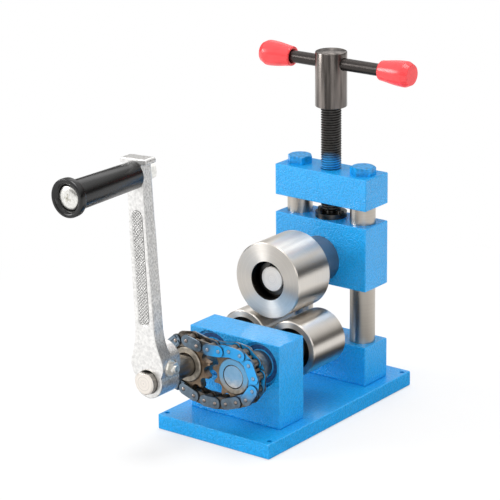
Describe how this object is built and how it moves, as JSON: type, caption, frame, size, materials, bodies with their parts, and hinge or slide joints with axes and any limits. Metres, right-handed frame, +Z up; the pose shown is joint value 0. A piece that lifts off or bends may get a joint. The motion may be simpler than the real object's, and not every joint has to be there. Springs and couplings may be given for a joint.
{
  "type": "ring roll bender",
  "caption": "Hand-cranked bench roll bender: a screw presses a wide idle roller down between chain-coupled driven rollers to curve bar, strip and rings.",
  "frame": {"origin": "centre of the base plate's underside", "axes": "+X along the metal's path, to the right seen from the crank side; +Y from the crank towards the guide columns; +Z up"},
  "size_m": [0.1728, 0.3858, 0.3423],
  "materials": {
    "blue_paint": "glossy bright blue paint with a fine hammered skin",
    "column_steel": "ground steel",
    "roller_steel": "hardened steel, fine turned and polished",
    "shaft_steel": "turned steel",
    "bearing_steel": "bright bearing steel with dark shields",
    "axle_steel": "dull blue-grey turned steel",
    "black_oxide": "black oxide with worn bright edges",
    "bronze": "plain bearing bronze",
    "red_cap": "satin red plastic",
    "crank_silver": "bright plated casting, slightly rough",
    "bright_zinc": "bright zinc plate",
    "grip_black": "satin black plastic",
    "sprocket_steel": "turned steel with a heat tint",
    "chain_steel": "dark blue-grey oiled chain steel"
  },
  "bodies": {
    "frame": {"base_plate": "blue_paint", "front_block": "blue_paint", "rear_block": "blue_paint", "guide_column_left": "column_steel", "guide_column_right": "column_steel", "crosshead": "blue_paint", "crosshead_bolts": "blue_paint", "block_screws": "black_oxide", "bearing_outer_rings": "bearing_steel", "chain_outer_links": "chain_steel", "chain_inner_links": "chain_steel", "chain_cranked_link": "chain_steel"},
    "drive": {"drive_shaft": "shaft_steel", "drive_sprocket": "sprocket_steel", "drive_roller": "roller_steel", "drive_bearing_inner_rings": "bearing_steel", "crank_arm": "crank_silver", "cotter_pin": "bright_zinc", "cotter_washer": "bright_zinc", "cotter_nut": "bright_zinc", "grip_bolt": "bright_zinc", "grip_nut": "bright_zinc"},
    "grip": {"crank_grip": "grip_black"},
    "driven": {"driven_shaft": "shaft_steel", "driven_sprocket": "sprocket_steel", "driven_roller": "roller_steel", "driven_bearing_inner_rings": "bearing_steel"},
    "slide": {"slide_block": "blue_paint", "upper_axle": "axle_steel", "thrust_washer": "shaft_steel", "axle_circlip": "black_oxide", "screw_retainers": "black_oxide", "retainer_screws": "black_oxide"},
    "idler": {"upper_roller": "roller_steel", "upper_roller_bushes": "bronze"},
    "screw": {"pressure_screw": "black_oxide", "screw_head": "black_oxide"},
    "bar": {"tommy_bar": "black_oxide", "bar_cap_left": "red_cap", "bar_cap_right": "red_cap"}
  },
  "joints": [
    {"name": "crank_spin", "type": "hinge", "parent": "frame", "child": "drive", "pos_m": [-0.028, 0, 0.0746], "axis": [0, 1, 0], "continuous": true, "deforming": ["chain_outer_links", "chain_inner_links", "chain_cranked_link"]},
    {"name": "driven_spin", "type": "hinge", "parent": "frame", "child": "driven", "pos_m": [0.028, 0, 0.0746], "axis": [0, 1, 0], "continuous": true},
    {"name": "grip_spin", "type": "hinge", "parent": "drive", "child": "grip", "pos_m": [-0.03826, -0.22, 0.27033], "axis": [0, 1, 0], "continuous": true},
    {"name": "screw_turn", "type": "hinge", "parent": "slide", "child": "screw", "pos_m": [0, 0.0745, 0.2], "axis": [0, 0, 1], "range_deg": [-560, 1150]},
    {"name": "upper_slide", "type": "slide", "parent": "frame", "child": "slide", "axis": [0, 0, 1], "range_m": [-0.0039, 0.008]},
    {"name": "roller_spin", "type": "hinge", "parent": "slide", "child": "idler", "pos_m": [0, 0, 0.1375], "axis": [0, 1, 0], "continuous": true},
    {"name": "bar_slide", "type": "slide", "parent": "screw", "child": "bar", "axis": [1, 0, 0], "range_m": [-0.042, 0.029]}
  ],
  "couplings": [
    {"joint": "driven_spin", "follows": "crank_spin", "ratio": 1},
    {"joint": "upper_slide", "follows": "screw_turn", "m_per_rad": 0.00039789}
  ]
}
